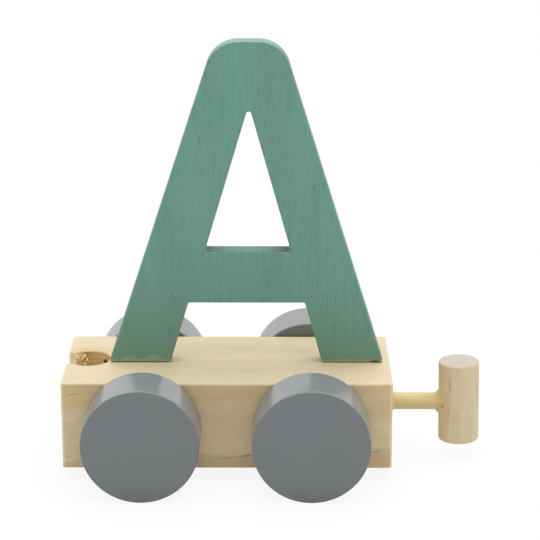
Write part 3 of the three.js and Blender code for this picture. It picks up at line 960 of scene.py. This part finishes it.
peg_wood, tree, shader = new_finish("peg_dowel")
upright = grain_place(tree, "Z")
figure = grain(tree, upright, pith=(0.0, 6.0, -38.0), ring_width=1.1, wander=1.5)
pale = patchy(tree, colour(236, 221, 183), colour(230, 212, 171), figure["Tone"], 0.3, 0.7)
pinkish = noise(tree, upright, (0.06, 0.7, 0.7))
flushed = patchy(tree, pale, colour(224, 195, 164), pinkish, 0.45, 0.7, strength=0.5)
streaked = patchy(tree, flushed, colour(204, 170, 132), figure["Fibre"], 0.5, 0.8, strength=0.4)
pored = tinted(tree, streaked, colour(160, 120, 84), figure["Pores"], strength=0.12)
cracked = with_dark_strokes(tree, pored, grain_place(tree, "X"), PEG_CRACKS)
blotch = noise(tree, upright, (0.3, 0.45, 0.45))
cut_end = patchy(tree, colour(210, 203, 184), colour(212, 198, 182), blotch, 0.4, 0.65)
bare = patchy(tree, cracked, cut_end, maths(tree, "ABSOLUTE", facing(tree)["Z"]), 0.6, 0.95)
sheen = between(tree, figure["Fibre"], 0.2, 0.8, 0.55, 0.7)
relief = maths(tree, "SUBTRACT", figure["Fibre"], times(tree, figure["Pores"], 0.8))
dress(tree, shader, bare, sheen, relief, strength=0.2, depth=0.05)
peg.data.materials.append(peg_wood)
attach(peg, "chassis")
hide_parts("coupling_peg")

# The studio: a white floor that runs on as the backdrop, kept white in the picture and showing only the soft
# shadow under the wagon, one wide soft lamp from above and an even white room.
WHITE = (1.0, 1.0, 1.0, 1.0)
FLOOR_HALF = 3000
FLOOR_PAPER = (0.88, 0.88, 0.88, 1.0)
FLOOR_OWN_LIGHT = 0.9
ROOM_LIGHT = 0.4
LAMP_STRENGTH = 2.08
LAMP_WIDTH = 70
LAMP_TILT = (-2, 3, 0)

corners = [(-FLOOR_HALF, -FLOOR_HALF, 0), (FLOOR_HALF, -FLOOR_HALF, 0)]
corners += [(FLOOR_HALF, FLOOR_HALF, 0), (-FLOOR_HALF, FLOOR_HALF, 0)]
floor = new_piece("floor", corners, [(0, 1, 2, 3)])
paper = bpy.data.materials.new("white_paper")
paper.use_nodes = True
tree = paper.node_tree
tree.nodes.clear()
seen = add(tree, "ShaderNodeLightPath").outputs["Is Camera Ray"]
lit = add(tree, "ShaderNodeBsdfDiffuse", {"Color": mixed(tree, seen, FLOOR_PAPER, WHITE)})
own = add(tree, "ShaderNodeEmission", {"Color": WHITE, "Strength": 1.0})
share = times(tree, seen, FLOOR_OWN_LIGHT)
kept_white = add(tree, "ShaderNodeMixShader", {0: share, 1: lit.outputs[0], 2: own.outputs[0]})
add(tree, "ShaderNodeOutputMaterial", {"Surface": kept_white.outputs[0]})
floor.data.materials.append(paper)

room = bpy.data.worlds.new("room")
room.use_nodes = True
bpy.context.scene.world = room
tree = room.node_tree
tree.nodes.clear()
ray = add(tree, "ShaderNodeLightPath").outputs
shown = maths(tree, "MAXIMUM", ray["Is Camera Ray"], ray["Is Glossy Ray"])
strength = maths(tree, "ADD", ROOM_LIGHT, times(tree, shown, 1.0 - ROOM_LIGHT))
backdrop = add(tree, "ShaderNodeBackground", {"Color": WHITE, "Strength": strength})
add(tree, "ShaderNodeOutputWorld", {"Surface": backdrop.outputs[0]})

lamp_data = bpy.data.lights.new("softbox", "SUN")
lamp_data.energy = LAMP_STRENGTH
lamp_data.angle = math.radians(LAMP_WIDTH)
lamp = bpy.data.objects.new("softbox", lamp_data)
lamp.rotation_euler = [math.radians(angle) for angle in LAMP_TILT]
bpy.context.scene.collection.objects.link(lamp)

# The camera: a long lens a little above the wagon, looking down at its right side. Its place is in metres,
# and its turn, dip and roll are in degrees.
CAMERA_SENSOR = 36.0
CAMERA_LENS = 137.61
CAMERA_NEAREST = 0.01
CAMERA_FURTHEST = 20.0
CAMERA_PLACE = (-0.0000596, -0.3813433, 0.1543304)
CAMERA_TURN = 0.1095
CAMERA_DIP = 16.9674
CAMERA_ROLL = 0.0439

camera_data = bpy.data.cameras.new("camera")
camera_data.sensor_width = CAMERA_SENSOR
camera_data.lens = CAMERA_LENS
camera_data.clip_start = CAMERA_NEAREST
camera_data.clip_end = CAMERA_FURTHEST
camera = bpy.data.objects.new("camera", camera_data)
camera.location = CAMERA_PLACE
turn = Matrix.Rotation(math.radians(CAMERA_TURN), 3, "Z")
dip = Matrix.Rotation(math.radians(90 - CAMERA_DIP), 3, "X")
roll = Matrix.Rotation(math.radians(CAMERA_ROLL), 3, "Z")
camera.rotation_euler = (turn @ dip @ roll).to_euler()
bpy.context.scene.collection.objects.link(camera)
bpy.context.scene.camera = camera
bpy.context.scene.view_settings.view_transform = "Standard"
